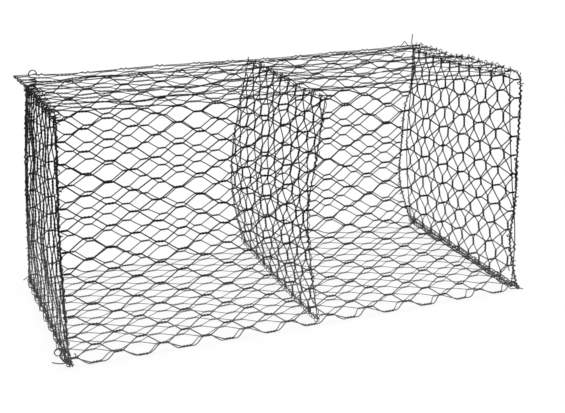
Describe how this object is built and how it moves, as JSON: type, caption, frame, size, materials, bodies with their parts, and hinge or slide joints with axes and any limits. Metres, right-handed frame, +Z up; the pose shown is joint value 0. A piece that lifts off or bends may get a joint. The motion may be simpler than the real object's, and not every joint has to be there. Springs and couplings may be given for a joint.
{
  "type": "gabion basket",
  "caption": "Empty gabion basket: a box of folded double-twist hexagonal wire mesh with selvedge wires, end panels, a diaphragm between its bays and a lid that folds open.",
  "frame": {"origin": "on the ground under the middle of the basket", "axes": "+Z up, +X along the basket's length, +Y from the lid's fold at the front to the back"},
  "size_m": [2, 1, 1.06],
  "materials": {
    "mesh_wire": "dark grey polymer coat on steel wire, scuffed and dusty",
    "selvedge_wire": "dark grey polymer coat on heavier steel wire",
    "tie_wire": "dark grey polymer coat on thin binding wire"
  },
  "bodies": {
    "basket": {"back_left_selvedge": "selvedge_wire", "back_mesh_left_bay": "mesh_wire", "back_mesh_right_bay": "mesh_wire", "back_right_selvedge": "selvedge_wire", "back_top_selvedge": "selvedge_wire", "base_left_selvedge": "selvedge_wire", "base_mesh_left_bay": "mesh_wire", "base_mesh_right_bay": "mesh_wire", "base_right_selvedge": "selvedge_wire", "diaphragm_back_selvedge": "selvedge_wire", "diaphragm_bottom_selvedge": "selvedge_wire", "diaphragm_front_selvedge": "selvedge_wire", "diaphragm_mesh": "mesh_wire", "diaphragm_top_selvedge": "selvedge_wire", "front_left_selvedge": "selvedge_wire", "front_mesh_left_bay": "mesh_wire", "front_mesh_right_bay": "mesh_wire", "front_right_selvedge": "selvedge_wire", "left_end_back_selvedge": "selvedge_wire", "left_end_bottom_selvedge": "selvedge_wire", "left_end_front_selvedge": "selvedge_wire", "left_end_mesh": "mesh_wire", "left_end_top_selvedge": "selvedge_wire", "left_tie_hook": "tie_wire", "right_end_back_selvedge": "selvedge_wire", "right_end_bottom_selvedge": "selvedge_wire", "right_end_front_selvedge": "selvedge_wire", "right_end_mesh": "mesh_wire", "right_end_top_selvedge": "selvedge_wire", "right_tie_tail": "tie_wire"},
    "lid": {"lid_free_edge_selvedge": "selvedge_wire", "lid_left_selvedge": "selvedge_wire", "lid_mesh_left_bay": "mesh_wire", "lid_mesh_right_bay": "mesh_wire", "lid_right_selvedge": "selvedge_wire"}
  },
  "joints": [
    {"name": "lid_fold", "type": "hinge", "parent": "basket", "child": "lid", "pos_m": [0, -0.5, 1], "axis": [1, 0, 0], "range_deg": [0, 250]}
  ]
}
